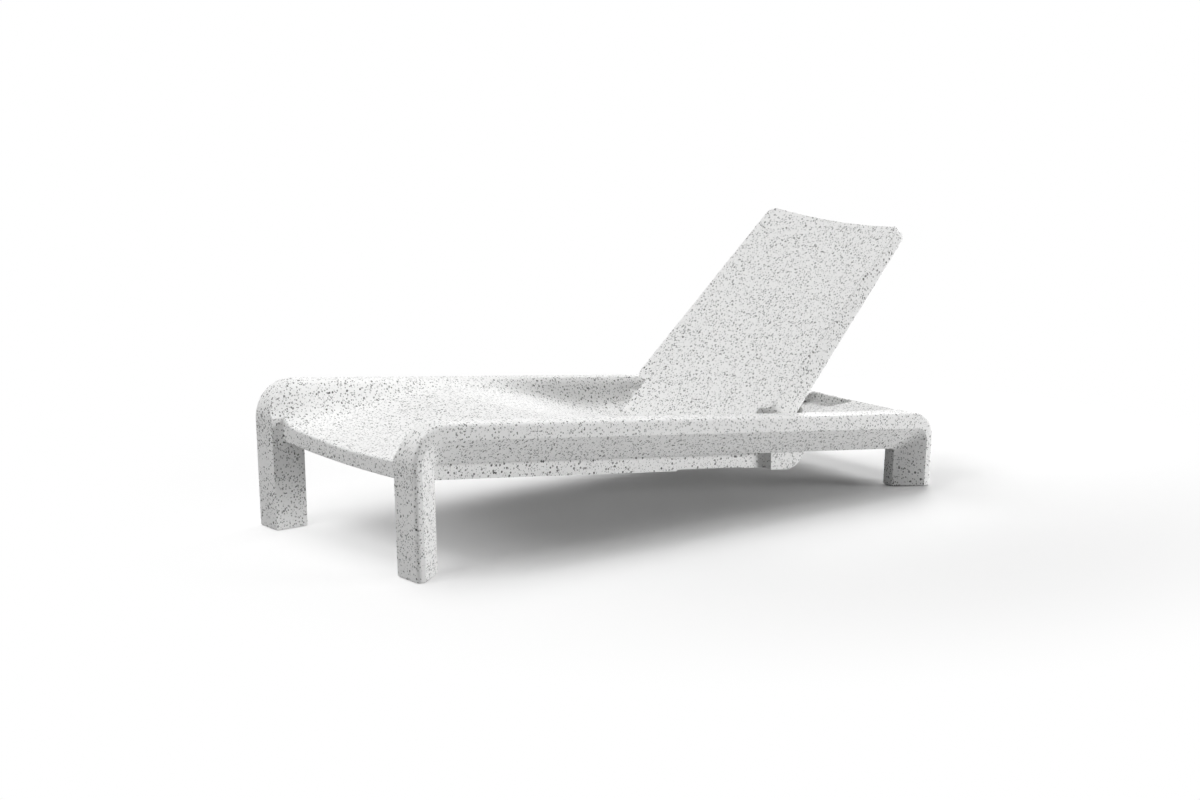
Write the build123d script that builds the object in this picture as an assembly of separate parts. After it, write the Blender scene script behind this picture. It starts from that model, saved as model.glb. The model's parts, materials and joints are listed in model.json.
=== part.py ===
from build123d import *
import os
from math import atan, atan2, cos, degrees, hypot, radians, sin

os.makedirs("parts", exist_ok=True)

# Sun lounger moulded in two plastic shells: a four-legged base with a scooped seat and raised
# side rails, and a backrest that hinges between two ears of the base. A bent steel stay behind
# the backrest drops its foot into a notched rack in the rear deck and sets the recline.
# While modelling, x runs from the foot end to the head end, y across and z up from the floor.
# Every piece is moved at the end so that the origin is the middle of the footprint.

# Driving sizes of the base
overall_length = 1850.0
overall_width = 800.0
rail_height_foot = 423.0
rail_height_head = 218.0
glide_stand = 1.5
overrun = 20.0
same_place = 0.05
edge_shares = [0.0, 0.5, 1.0]

# Side frames: legs, edge band, bevel and flat underside
foot_lean = 9.0
head_lean = 8.0
foot_corner_radius = 102.0
head_corner_radius = 79.0
outer_edge_radius = 13.0
band_height = 44.0
band_foot = 24.0
band_head = 28.0
bevel_height = 115.0
bevel_foot = 99.0
bevel_head = 104.0
bevel_taper = 2.0
bevel_depth = 58.0
foot_crease_radius = 62.0
head_crease_radius = 42.0
inner_corner_radius = 11.0
leg_inner = 304.0
leg_chamfer = 3.0

# Seat pan between the rails
lip_x = 37.5
lip_edge_radius = 5.0
seat_end_radius = 5.0
skirt_height = 167.0
skirt_step_x = 945.0
skirt_step = 4.5
pan_sag = 8.0
seat_edge_y = 227.0
rim_rise = 1.5
seat_stations = [
    (-30.0, 299.0),
    (110.0, 299.5),
    (230.0, 303.0),
    (335.0, 314.0),
    (440.0, 330.0),
    (543.0, 337.0),
    (640.0, 330.0),
    (745.0, 304.0),
    (860.0, 271.0),
    (970.0, 236.0),
    (1065.0, 207.0),
    (1130.0, 198.0),
    (1250.0, 198.0),
]
# Shares of the depth below the rail top and places across, from the rim inwards
seat_wall_y = [346.0, 334.0, 320.0, 303.0, 268.0]
seat_wall_shares = [0.0, 0.11, 0.42, 0.76, 0.955]

# Hinge and ears
hinge_x = 1331.0
hinge_z = 178.0
rest_angle = 43.0
raise_angle = 20.0
ear_radius = 70.0
ear_top_radius = 36.0
ear_lower_middle = 45.0
ear_front_x = 1269.0
ear_inner = 267.0
ear_root = 332.0

# Rear deck and the channel of the stay
deck_slope = 0.0527
deck_cover = 5.2
deck_crown = 3.0
deck_crown_y = 190.0
deck_stations = [
    (1240.0, 346.0),
    (1400.0, 346.0),
    (1560.0, 344.0),
    (1700.0, 336.0),
    (1790.0, 324.0),
    (1880.0, 306.0),
]
deck_wall_insets = [0.0, 12.0, 22.0, 29.0, 42.0]
deck_wall_shares = [0.0, 0.12, 0.42, 0.80, 0.95]
channel_half = 90.0
channel_depth = 19.0
channel_run = 12.0
channel_radius = 12.0

# Backrest: u runs up the slab from the hinge, v from the hinge towards the sitter
back_length = 747.0
back_front_v = 112.0
back_front_rise = 3.0
back_root_v = 14.3
back_top_thickness = 41.0
back_half_low = 312.0
back_half_top = 289.0
neck_half = 263.0
shoulder_clearance = 2.0
shoulder_radius = 28.0
neck_inner_radius = 8.0
top_corner_radius = 30.0
heel_u = -87.0
heel_radius = 144.0
heel_thickness = 84.0
hub_radius = 60.0
hub_meeting_angle = 158.0
heel_meeting_angle = 207.0
back_edge_radius = 10.0
front_edge_radius = 2.5
front_band = 30.0
slot_clearance = 3.5
hub_clearance = 4.0
dish_low = 9.0
dish_top = 26.0
dish_edge = 2.0

# Hinge hardware, one set on each side
bolt_shoulder_radius = 10.0
bolt_thread_radius = 8.0
bolt_head_radius = 15.0
bolt_head_height = 10.0
bolt_socket_radius = 5.0
bolt_socket_depth = 6.0
bolt_thread_length = 30.0
running_clearance = 0.05
bush_wall = 2.5
bush_flange_radius = 20.0
seat_clearance = 0.3
cheek_thickness = 28.0
pocket_radius = 23.0
pocket_length = 82.0
insert_wall = 5.0
insert_flange_radius = 19.0
insert_flange_height = 3.0
insert_tail = 6.0

# Support stay and its saddles on the back of the slab
stay_u = 230.0
stay_v = 44.0
rod_radius = 6.0
stay_half = 70.0
stay_foot_bend = 26.0
stay_top_bend = 14.0
stay_stub = 34.0
recess_half = 112.0
recess_low_u = 196.0
recess_high_u = 372.0
recess_floor_gap = 8.0
recess_radius = 10.0
saddle_width = 18.0
saddle_gap = 1.0
saddle_offset = 17.0
saddle_wall = 6.0
saddle_rim = 1.5
saddle_flange = 6.0
saddle_ear = 15.0
rod_clearance = 0.08

# Small screws with their brass inserts
screw_radius = 2.5
screw_head_radius = 4.6
screw_head_height = 2.8
screw_length = 16.0
screw_socket_radius = 1.5
screw_socket_depth = 1.6
small_insert_wall = 1.6
small_insert_length = 12.0
thread_clearance = 0.05

# Rack in the channel
rack_half = 38.0
rack_base = 6.0
rack_notches = 6
rack_tip_gap = 0.4
rack_land = 4.0
rack_valley_lead = 6.0
rack_valley_trail = 6.6
rack_valley_cover = 1.4
rack_tab = 24.0
rack_screw_y = 24.0

# Glides, bumpers and vent plugs
glide_radius = 22.0
glide_thickness = 4.0
glide_stem_radius = 5.0
glide_stem_length = 20.0
glide_edge = 1.0
glide_inset_foot = 53.0
glide_inset_head = 54.0
glide_y = 345.0
bumper_u = 415.0
bumper_y = 190.0
bumper_radius = 14.0
bumper_gap = 1.5
bumper_stem_radius = 5.0
bumper_stem_length = 12.0
bumper_edge = 3.0
plug_radius = 11.0
plug_flange = 2.5
plug_stem_radius = 7.0
plug_stem_length = 10.0
plug_edge = 1.0
base_plug_x = 700.0
back_plug_inset = 147.0
fit_clearance = 0.05

# Worked out from the sizes above
half_width = overall_width / 2
bevel_inner = half_width - bevel_depth
rail_slope = (rail_height_foot - rail_height_head) / overall_length
foot_face_rise = rail_height_foot - foot_corner_radius
head_face_rise = rail_height_head - head_corner_radius
foot_face = (foot_lean, -foot_lean / foot_face_rise)
head_face = (overall_length - head_lean, head_lean / head_face_rise)
floor_z = glide_stand
glide_x_foot = glide_inset_foot
glide_x_head = overall_length - glide_inset_head
back_plug_u = back_length - back_plug_inset
below = -overrun
above = rail_height_foot + overrun
upright_angle = rest_angle + raise_angle
shoulder_u = ear_top_radius + shoulder_clearance
heel_v = back_front_v + back_front_rise
slot_radius = heel_radius + slot_clearance
hub_slot_radius = hub_radius + hub_clearance
deck_angle = degrees(atan(deck_slope))
stay_length = hypot(stay_u, stay_v)
stay_rise = degrees(atan2(stay_v, stay_u)) - deck_angle
foot_rest = 2 * stay_length * cos(radians(rest_angle + stay_rise))
foot_upright = 2 * stay_length * cos(radians(upright_angle + stay_rise))
foot_flat = 2 * stay_length * cos(radians(stay_rise))
saddle_floor = stay_v + rod_radius + recess_floor_gap
saddle_y = stay_half + stay_top_bend + saddle_gap + saddle_width / 2
bush_inner = bolt_shoulder_radius + running_clearance
bush_outer = bush_inner + bush_wall
channel_end = foot_flat + rod_radius + channel_run
insert_inner = bolt_thread_radius + thread_clearance
insert_outer = insert_inner + insert_wall
small_insert_outer = screw_radius + thread_clearance + small_insert_wall


def rail_top(x):
    return rail_height_foot - rail_slope * x


def deck_top(x):
    return hinge_z + deck_cover + deck_slope * (x - hinge_x)


def back_v(u):
    """Height of the slab's back face above the hinge axis, in the slab's own frame."""
    top_v = back_front_v - back_top_thickness
    return back_root_v + (top_v - back_root_v) * u / back_length


def side_plane(y):
    return Plane(origin=(0, y, 0), x_dir=(1, 0, 0), z_dir=(0, -1, 0))


def cross_plane(x):
    return Plane(origin=(x, 0, 0), x_dir=(0, 1, 0), z_dir=(1, 0, 0))


def tilted_side_plane(y, angle):
    """Side view plane through the hinge axis, its first axis raised by the angle."""
    tilt = radians(angle)
    return Plane(origin=(hinge_x, y, hinge_z), x_dir=(cos(tilt), 0, sin(tilt)), z_dir=(0, -1, 0))


slab_u = Vector(cos(radians(rest_angle)), 0, sin(radians(rest_angle)))
slab_v = Vector(-sin(radians(rest_angle)), 0, cos(radians(rest_angle)))
hinge = Vector(hinge_x, 0, hinge_z)


def slab_point(u, v, y=0):
    return hinge + slab_u * u + slab_v * v + Vector(0, y, 0)


def slab_frame(u, v, y):
    """Place on the slab whose third axis points out of its back."""
    return Plane(origin=slab_point(u, v, y), x_dir=slab_u, z_dir=-slab_v).location


def back_frame(u, y):
    """Place on the sloping back face of the slab, its third axis square to the face."""
    slope = (back_v(back_length) - back_v(0)) / back_length
    origin = slab_point(u, back_v(u), y)
    return Plane(origin=origin, x_dir=slab_u + slab_v * slope, z_dir=slab_u * slope - slab_v).location


def deck_frame(d, y, h):
    """Place at a distance along the path of the stay's foot, h square to that path."""
    slope = radians(deck_angle)
    along = Vector(cos(slope), 0, sin(slope))
    up = Vector(-sin(slope), 0, cos(slope))
    return Plane(origin=hinge + along * d + up * h + Vector(0, y, 0), x_dir=along, z_dir=up).location


def base_plug_frame():
    """Place in the middle of the pan's underside, its third axis pointing down."""
    z = rail_top(base_plug_x) - skirt_height - pan_sag
    return Plane(origin=(base_plug_x, 0, z), x_dir=(1, 0, -rail_slope), z_dir=(-rail_slope, 0, -1)).location


def hinge_frame(side):
    """Place on the hinge axis whose third axis points outwards on the given side."""
    return Plane(origin=hinge, x_dir=(1, 0, 0), z_dir=(0, side, 0)).location


def rod(radius, start, end):
    """Round bar along the third axis between two heights."""
    return Pos(0, 0, (start + end) / 2) * Cylinder(radius, abs(end - start))


def outline(plane, corners):
    """Closed face on a plane from corners given as first axis, second axis and radius."""
    points = [(a, b) for a, b, radius in corners]
    radii = [radius for a, b, radius in corners]
    return plane * make_face(FilletPolyline(*points, radius=radii, close=True))


def bar(face, depth):
    """Solid of the given depth, centred on the plane of its face."""
    return extrude(face, amount=depth / 2, both=True)


def upright_meets_roof(upright, roof):
    """Crossing of a leg line x = a + b z with a roof line z = c + d x."""
    a, b = upright
    c, d = roof
    z = (c + d * a) / (1 - b * d)
    return a + b * z, z


def upright_at(upright, z):
    return upright[0] + upright[1] * z


def roof_line(drop):
    return (rail_height_foot - drop, -rail_slope)


# Base shell


def base_block():
    """Outer envelope of the base with its rounded side edges."""
    foot_top = upright_meets_roof(foot_face, roof_line(0))
    head_top = upright_meets_roof(head_face, roof_line(0))
    side = outline(side_plane(0), [
        (upright_at(foot_face, floor_z), floor_z, 0),
        (*foot_top, foot_corner_radius),
        (*head_top, head_corner_radius),
        (upright_at(head_face, floor_z), floor_z, 0),
    ])
    block = bar(side, overall_width)
    rims = block.faces().filter_by(Axis.Y).edges()
    rims = [edge for edge in rims if edge.center().Z > floor_z + glide_stand]
    return fillet(rims, outer_edge_radius)


def under_outline(plane, foot_inset, foot_taper, head_inset, drop, foot_radius, head_radius):
    """Outline of the space under a rail, open through the floor."""
    foot = (foot_face[0] + foot_inset, foot_face[1] + foot_taper / rail_height_foot)
    head = (head_face[0] - head_inset, head_face[1])
    roof = roof_line(drop)
    return outline(plane, [
        (upright_at(foot, below), below, 0),
        (*upright_meets_roof(foot, roof), foot_radius),
        (*upright_meets_roof(head, roof), head_radius),
        (upright_at(head, below), below, 0),
    ])


def under_rail(side):
    """Bevelled space under one rail, between its legs."""
    wide = under_outline(
        side_plane(side * half_width), band_foot, 0, band_head, band_height,
        foot_crease_radius, head_crease_radius,
    )
    narrow = under_outline(
        side_plane(side * bevel_inner), bevel_foot, bevel_taper, bevel_head, bevel_height,
        inner_corner_radius, inner_corner_radius,
    )
    bevel = loft([wide, narrow], ruled=True)
    inner = extrude(narrow, amount=side * (bevel_inner - leg_inner))
    return bevel + inner


def pan_section(x, z):
    """Cross-section of what lies below the sagging underside of the pan."""
    top = z
    arc = ThreePointArc((-leg_inner, top), (0, top - pan_sag), (leg_inner, top))
    rest = Polyline((leg_inner, top), (leg_inner, below - top), (-leg_inner, below - top), (-leg_inner, top))
    return cross_plane(x) * make_face([arc, rest])


def under_pan(start, end, drop):
    """Space under the middle of the base between two stations."""
    top = rail_top(start) - drop
    return extrude(pan_section(start, top), amount=end - start, dir=(1, 0, -rail_slope))


def wall_points(places, shares, top, floor):
    """Right-hand wall of a trough, from its rim down to the floor."""
    points = []
    for place, share in zip(places, shares):
        rise = rim_rise if share == 0 else 0
        points.append((place, top + rise - share * (top - floor)))
    return points


def trough_section(x, right_wall, middle):
    """Closed section of a trough, open at the top."""
    right = right_wall + middle
    left = [(-y, z) for y, z in reversed(right) if y > 0]
    curve = Spline(*(right + left))
    rim = right[0]
    lid = Polyline((-rim[0], rim[1]), (-rim[0], above), (rim[0], above), rim)
    return cross_plane(x) * make_face([curve, lid])


def seat_trough():
    sections = []
    for x, edge_z in seat_stations:
        wall = wall_points(seat_wall_y, seat_wall_shares, rail_top(x), edge_z)
        middle = [(seat_edge_y, edge_z), (0, edge_z - pan_sag)]
        sections.append(trough_section(x, wall, middle))
    return loft(sections)


def deck_trough():
    sections = []
    for x, rim in deck_stations:
        floor = deck_top(x) + deck_crown
        places = [rim - inset for inset in deck_wall_insets]
        wall = wall_points(places, deck_wall_shares, rail_top(x), floor)
        middle = [(deck_crown_y, floor), (0, floor - deck_crown)]
        sections.append(trough_section(x, wall, middle))
    return loft(sections)


def lip_front():
    """Space in front of the seat's lip, between the foot legs."""
    face = outline(side_plane(0), [
        (below - foot_lean, below, 0),
        (below - foot_lean, rail_height_foot, 0),
        (lip_x, rail_height_foot, 0),
        (lip_x, below, 0),
    ])
    return bar(face, 2 * leg_inner)


def hinge_slot():
    """Slot through the base in which the heel and the hub of the backrest turn."""
    heel_cut = bar(tilted_side_plane(0, 0) * Circle(slot_radius), 2 * leg_inner)
    ear_offset = ear_front_x - hinge_x
    keep = outline(tilted_side_plane(0, 0), [
        (-slot_radius - overrun, -hinge_z - overrun, 0),
        (-slot_radius - overrun, slot_radius, 0),
        (ear_offset, slot_radius, 0),
        (ear_offset, -hinge_z - overrun, 0),
    ])
    heel_cut = heel_cut & bar(keep, 2 * leg_inner)
    hub_cut = bar(tilted_side_plane(0, 0) * Circle(hub_slot_radius), 2 * ear_inner)
    well = outline(tilted_side_plane(0, 0), [
        (ear_offset - overrun, -hinge_z - overrun, 0),
        (ear_offset - overrun, slot_radius, 0),
        (0, slot_radius, 0),
        (0, -hinge_z - overrun, 0),
    ])
    return heel_cut, hub_cut + bar(well, 2 * ear_inner)


def ear(side):
    """Ear of the base: low and round above the hinge, cut back where the shoulder passes."""
    lean = radians(upright_angle)
    reach = (hinge_x - ear_front_x + ear_top_radius * cos(lean)) / sin(lean)
    front = ear_front_x - hinge_x
    shoulder_z = ear_top_radius * sin(lean) + reach * cos(lean)
    skirt_z = rail_top(ear_front_x) - skirt_height - hinge_z
    shoulder = (ear_top_radius * cos(lean), ear_top_radius * sin(lean))
    top_middle = (ear_top_radius * cos(lean / 2), ear_top_radius * sin(lean / 2))
    turn = radians(ear_lower_middle)
    lower_middle = (ear_radius * cos(turn), -ear_radius * sin(turn))
    face = tilted_side_plane(side * (ear_inner + ear_root) / 2, 0) * make_face([
        Line((front, skirt_z), (front, shoulder_z)),
        Line((front, shoulder_z), shoulder),
        ThreePointArc(shoulder, top_middle, (ear_top_radius, 0)),
        Line((ear_top_radius, 0), (ear_radius, 0)),
        ThreePointArc((ear_radius, 0), lower_middle, (0, -ear_radius)),
        Line((0, -ear_radius), (front, skirt_z)),
    ])
    return bar(face, ear_root - ear_inner)


def stay_channel():
    """Channel in the rear deck in which the foot of the stay slides."""
    floor = -channel_depth
    face = outline(tilted_side_plane(0, deck_angle), [
        (0, floor, 0),
        (0, channel_depth, 0),
        (channel_end, channel_depth, 0),
        (channel_end, floor, 0),
    ])
    channel = bar(face, 2 * channel_half)
    end = channel.faces().sort_by(Axis.X)[-1]
    corners = end.edges().filter_by(Axis.Y, reverse=True)
    return fillet(corners, channel_radius)


def is_leg_rim(edge):
    """Whether an edge bounds the foot of a leg."""
    return all(edge.position_at(share).Z < floor_z + same_place for share in edge_shares)


def is_on_lip(edge):
    """Whether a long edge bounds the front of the seat's lip."""
    on_plane = all(abs(edge.position_at(share).X - lip_x) < same_place for share in edge_shares)
    return on_plane and abs(edge.center().Y) < same_place


def is_seat_end(edge):
    """Whether an edge lies where the seat drops into the slot."""
    for share in edge_shares:
        place = edge.position_at(share) - hinge
        if abs(hypot(place.X, place.Z) - slot_radius) > same_place or place.Z < 0:
            return False
    return abs(edge.center().Y) < same_place


def base_shell():
    block = base_block()
    shell = block
    for side in (-1, 1):
        shell -= under_rail(side)
    shell -= under_pan(lip_x - overrun, hinge_x, skirt_height)
    shell -= under_pan(skirt_step_x, hinge_x, skirt_height - skirt_step)
    shell -= under_pan(ear_front_x, overall_length + 2 * overrun, bevel_height)
    shell -= lip_front()
    shell = chamfer(shell.edges().filter_by(is_leg_rim), leg_chamfer)
    shell -= seat_trough()
    shell -= deck_trough()
    heel_cut, hub_cut = hinge_slot()
    shell -= heel_cut
    lip = shell.edges().filter_by(is_on_lip)
    shell = fillet(lip, lip_edge_radius)
    shell = fillet(shell.edges().filter_by(is_seat_end), seat_end_radius)
    for side in (-1, 1):
        shell += ear(side) & block
    shell -= hub_cut
    shell -= stay_channel()
    for side in (-1, 1):
        shell -= ear_socket(side)
        for x in (glide_x_foot, glide_x_head):
            shell -= Pos(x, side * glide_y, 0) * glide_hole()
        for d in rack_screw_places():
            shell -= deck_frame(d, side * rack_screw_y, -channel_depth) * insert_hole()
    shell -= base_plug_frame() * plug_hole()
    return shell


def ear_socket(side):
    """Socket in the inner face of an ear for the threaded insert of the hinge bolt."""
    bore = rod(insert_outer, ear_inner - overrun, ear_inner + bolt_thread_length + insert_tail)
    flange = rod(insert_flange_radius, ear_inner - overrun, ear_inner + insert_flange_height)
    return hinge_frame(side) * (bore + flange)


def glide_hole():
    disc = rod(glide_radius + fit_clearance, below, glide_thickness)
    stem = rod(glide_stem_radius + fit_clearance, 0, glide_thickness + glide_stem_length + fit_clearance)
    return disc + stem


def insert_hole():
    return rod(small_insert_outer, overrun, -small_insert_length)


def plug_hole():
    return rod(plug_stem_radius + fit_clearance, overrun, -plug_stem_length - fit_clearance)


def bumper_hole():
    return rod(bumper_stem_radius + fit_clearance, overrun, -bumper_stem_length - fit_clearance)


# Backrest shell


def slab_side():
    """Side view of the slab with the heel that closes the gap behind the seat."""
    heel_angle = atan2(heel_v, heel_u)
    tail_angle = heel_angle + heel_thickness / heel_radius
    middle_angle = (tail_angle + heel_angle) / 2
    heel = (heel_radius * cos(heel_angle), heel_radius * sin(heel_angle))
    middle = (heel_radius * cos(middle_angle), heel_radius * sin(middle_angle))
    tail = (heel_radius * cos(tail_angle), heel_radius * sin(tail_angle))
    front_top = (back_length, back_front_v)
    back_top = (back_length, back_v(back_length))
    meeting = radians(hub_meeting_angle)
    hub_side = (hub_radius * cos(meeting), hub_radius * sin(meeting))
    meeting = radians(heel_meeting_angle)
    hub_under = (hub_radius * cos(meeting), hub_radius * sin(meeting))
    face = make_face([
        Line(heel, front_top),
        Line(front_top, back_top),
        Line(back_top, (0, back_v(0))),
        Line((0, back_v(0)), hub_side),
        Line(hub_side, hub_under),
        Line(hub_under, tail),
        ThreePointArc(tail, middle, heel),
    ])
    return tilted_side_plane(0, rest_angle) * face


def slab_plan():
    """Plan of the slab: a neck between the ears, shoulders, and sides that taper upwards."""
    low = heel_u - heel_radius
    plan = FilletPolyline(
        (low, -neck_half),
        (shoulder_u, -neck_half),
        (shoulder_u, -back_half_low),
        (back_length, -back_half_top),
        (back_length, back_half_top),
        (shoulder_u, back_half_low),
        (shoulder_u, neck_half),
        (low, neck_half),
        radius=[
            0, neck_inner_radius, shoulder_radius, top_corner_radius,
            top_corner_radius, shoulder_radius, neck_inner_radius, 0,
        ],
        close=True,
    )
    return Plane(origin=hinge, x_dir=slab_u, z_dir=slab_v) * make_face(plan)


def half_back(u):
    """Half width of the slab above its shoulders."""
    share = (u - shoulder_u) / (back_length - shoulder_u)
    return back_half_low + (back_half_top - back_half_low) * share


def dish_section(u, dip):
    """Section of the hollow that dishes the slab's front across its width."""
    half = half_back(u) + dish_edge
    edge_v = heel_v + (back_front_v - heel_v) * (u - heel_u) / (back_length - heel_u)
    top = back_front_v + overrun
    arc = ThreePointArc((-half, edge_v), (0, edge_v - dip), (half, edge_v))
    lid = Polyline((half, edge_v), (half, top), (-half, top), (-half, edge_v))
    plane = Plane(origin=slab_point(u, 0), x_dir=(0, 1, 0), z_dir=slab_u)
    return plane * make_face([arc, lid])


def dish():
    low = dish_section(heel_u - overrun, dish_low)
    high = dish_section(back_length + overrun, dish_top)
    return loft([low, high], ruled=True)


def stay_recess():
    """Recess in the back of the slab that takes the head of the stay."""
    face = outline(tilted_side_plane(0, rest_angle), [
        (recess_low_u, back_root_v - overrun, 0),
        (recess_low_u, saddle_floor, recess_radius),
        (recess_high_u, saddle_floor, recess_radius),
        (recess_high_u, back_root_v - overrun, 0),
    ])
    return bar(face, 2 * recess_half)


def bolt_pocket(side):
    """Bush bore and the pocket through which the hinge bolt is put in from behind."""
    cheek = neck_half - cheek_thickness
    bore = rod(bush_outer, cheek - cheek_thickness, neck_half + overrun)
    pocket = rod(pocket_radius, cheek - pocket_length, cheek)
    solid = hinge_frame(side) * (bore + pocket)
    mouth = outline(tilted_side_plane(side * (cheek - pocket_length / 2), rest_angle), [
        (-pocket_radius, 0, 0),
        (pocket_radius, 0, 0),
        (pocket_radius, -hub_radius - overrun, 0),
        (-pocket_radius, -hub_radius - overrun, 0),
    ])
    return solid + bar(mouth, pocket_length)


def slab_place(point):
    """How far a point lies up the slab and how far towards the sitter."""
    reach = point - hinge
    return reach.dot(slab_u), reach.dot(slab_v)


def edge_places(edge):
    return [slab_place(edge.position_at(share)) for share in edge_shares]


def is_on_back(edge):
    """Whether an edge bounds the sloping back face, above where it meets the hub."""
    places = edge_places(edge)
    return places[1][0] > same_place and all(abs(v - back_v(u)) < same_place for u, v in places)


def is_on_front(edge):
    """Whether an edge lies between the dished front and the sides or the top."""
    places = edge_places(edge)
    across = abs(edge.position_at(0).Y - edge.position_at(1).Y)
    heel = across > neck_half and places[1][0] < 0
    return not heel and all(v > back_front_v - front_band for u, v in places)


def back_shell():
    slab = bar(slab_side(), 2 * back_half_low + overrun)
    slab = slab & extrude(slab_plan(), amount=heel_radius + overrun, both=True)
    slab -= dish()
    slab = fillet(slab.edges().filter_by(is_on_back), back_edge_radius)
    slab = fillet(slab.edges().filter_by(is_on_front), front_edge_radius)
    hub = bar(tilted_side_plane(0, rest_angle) * Circle(hub_radius), 2 * neck_half)
    slab = slab + hub
    slab -= stay_recess()
    for side in (-1, 1):
        slab -= bolt_pocket(side)
        slab -= back_frame(bumper_u, side * bumper_y) * bumper_hole()
        for u in (stay_u - saddle_offset, stay_u + saddle_offset):
            slab -= slab_frame(u, saddle_floor, side * saddle_y) * insert_hole()
    slab -= back_frame(back_plug_u, 0) * plug_hole()
    return slab


# Hinge hardware


def hinge_bolt(side):
    """Shoulder bolt: the neck turns on its shoulder, its thread is tight in the ear."""
    cheek = neck_half - cheek_thickness
    seat = cheek - seat_clearance
    head = rod(bolt_head_radius, seat - bolt_head_height, seat)
    shoulder = rod(bolt_shoulder_radius, seat, ear_inner)
    thread = rod(bolt_thread_radius, ear_inner, ear_inner + bolt_thread_length - seat_clearance)
    socket_face = RegularPolygon(bolt_socket_radius, 6)
    socket = extrude(Pos(0, 0, seat - bolt_head_height) * socket_face, amount=bolt_socket_depth)
    return hinge_frame(side) * (head + shoulder + thread - socket)


def hinge_bush(side):
    """Flanged bush in the neck; its flange also keeps the neck off the ear."""
    cheek = neck_half - cheek_thickness
    flange_end = ear_inner - seat_clearance
    tube = rod(bush_outer, cheek, neck_half) + rod(bush_flange_radius, neck_half, flange_end)
    return hinge_frame(side) * (tube - rod(bush_inner, cheek - overrun, ear_inner + overrun))


def hinge_insert(side):
    """Blind threaded insert moulded into the ear."""
    body = rod(insert_outer, ear_inner, ear_inner + bolt_thread_length + insert_tail)
    flange = rod(insert_flange_radius, ear_inner, ear_inner + insert_flange_height)
    bore = rod(insert_inner, ear_inner - overrun, ear_inner + bolt_thread_length)
    return hinge_frame(side) * (body + flange - bore)


# Support stay, saddles and small fasteners


def support_stay():
    """Rod bent to a U; its ends turn outwards into the saddles, its middle is the foot bar."""
    head = slab_point(stay_u, stay_v)
    foot = deck_frame(foot_rest, 0, 0).position
    across = Vector(0, stay_half, 0)
    tip = Vector(0, stay_half + stay_stub, 0)
    path = FilletPolyline(
        head - tip, head - across, foot - across, foot + across, head + across, head + tip,
        radius=[stay_top_bend, stay_foot_bend, stay_foot_bend, stay_top_bend],
    )
    section = Plane(origin=head - tip, x_dir=(1, 0, 0), z_dir=(0, 1, 0)) * Circle(rod_radius)
    return sweep(section, path=path)


def stay_saddle(side):
    """Saddle that holds one end of the stay in the recess of the slab."""
    height = saddle_floor - stay_v
    outer = rod_radius + saddle_wall
    reach = saddle_offset + screw_head_radius + saddle_rim
    low = (Align.CENTER, Align.CENTER, Align.MIN)
    flange = Box(2 * reach, saddle_width, saddle_flange, align=low)
    web = Box(2 * outer, saddle_width, height, align=low)
    across = Pos(0, 0, height) * Rot(90, 0, 0)
    saddle = flange + web + across * Cylinder(outer, saddle_width)
    saddle -= across * Cylinder(rod_radius + rod_clearance, saddle_width + overrun)
    for x in (-saddle_offset, saddle_offset):
        saddle -= Pos(x, 0, 0) * rod(screw_radius + thread_clearance, below, overrun)
    return slab_frame(stay_u, saddle_floor, side * saddle_y) * saddle


def screw(seat):
    """Pan-head screw whose head stands on a flange of the given thickness."""
    head = rod(screw_head_radius, seat, seat + screw_head_height)
    shank = rod(screw_radius, seat - screw_length, seat)
    socket_face = RegularPolygon(screw_socket_radius, 6)
    top = seat + screw_head_height
    socket = extrude(Pos(0, 0, top - screw_socket_depth) * socket_face, amount=screw_socket_depth)
    return head + shank - socket


def small_insert():
    tube = rod(small_insert_outer, 0, -small_insert_length)
    return tube - rod(screw_radius + thread_clearance, overrun, -small_insert_length - overrun)


def saddle_screw_frames():
    return [
        slab_frame(stay_u + offset, saddle_floor, side * saddle_y)
        for side in (-1, 1)
        for offset in (-saddle_offset, saddle_offset)
    ]


# Rack


rack_start = foot_upright - rack_valley_lead - rack_tab
rack_end = foot_rest + rack_valley_trail + rack_land + rack_tab
rack_pitch = (foot_rest - foot_upright) / (rack_notches - 1)


def rack_screw_places():
    return rack_start + rack_tab / 2, rack_end - rack_tab / 2


def rack():
    """Strip with a row of ratchet notches, one for each recline."""
    floor = -channel_depth
    tab = floor + rack_base
    valley = tab + rack_valley_cover
    tip = -rod_radius - rack_tip_gap
    points = [(rack_end, floor), (rack_start, floor), (rack_start, tab), (rack_start + rack_tab, tab)]
    for notch in range(rack_notches):
        d = foot_upright + notch * rack_pitch
        wall = d + rack_valley_trail
        points += [(d - rack_valley_lead, valley), (wall, valley), (wall, tip), (wall + rack_land, tip)]
    points += [(rack_end - rack_tab, tab), (rack_end, tab)]
    face = tilted_side_plane(0, deck_angle) * make_face(Polyline(*points, close=True))
    strip = bar(face, 2 * rack_half)
    for d in rack_screw_places():
        for side in (-1, 1):
            hole = rod(screw_radius + thread_clearance, -overrun, overrun)
            strip -= deck_frame(d, side * rack_screw_y, floor) * hole
    return strip


def rack_screw_frames():
    return [
        deck_frame(d, side * rack_screw_y, -channel_depth)
        for d in rack_screw_places()
        for side in (-1, 1)
    ]


# Glides, bumpers and vent plugs


def foot_glide(x, side):
    """Push-in glide on which a leg stands."""
    disc = rod(glide_radius, 0, glide_thickness)
    disc = chamfer(disc.edges().sort_by(Axis.Z)[0], glide_edge)
    stem = rod(glide_stem_radius, glide_thickness, glide_thickness + glide_stem_length)
    return Pos(x, side * glide_y, 0) * (disc + stem)


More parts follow.
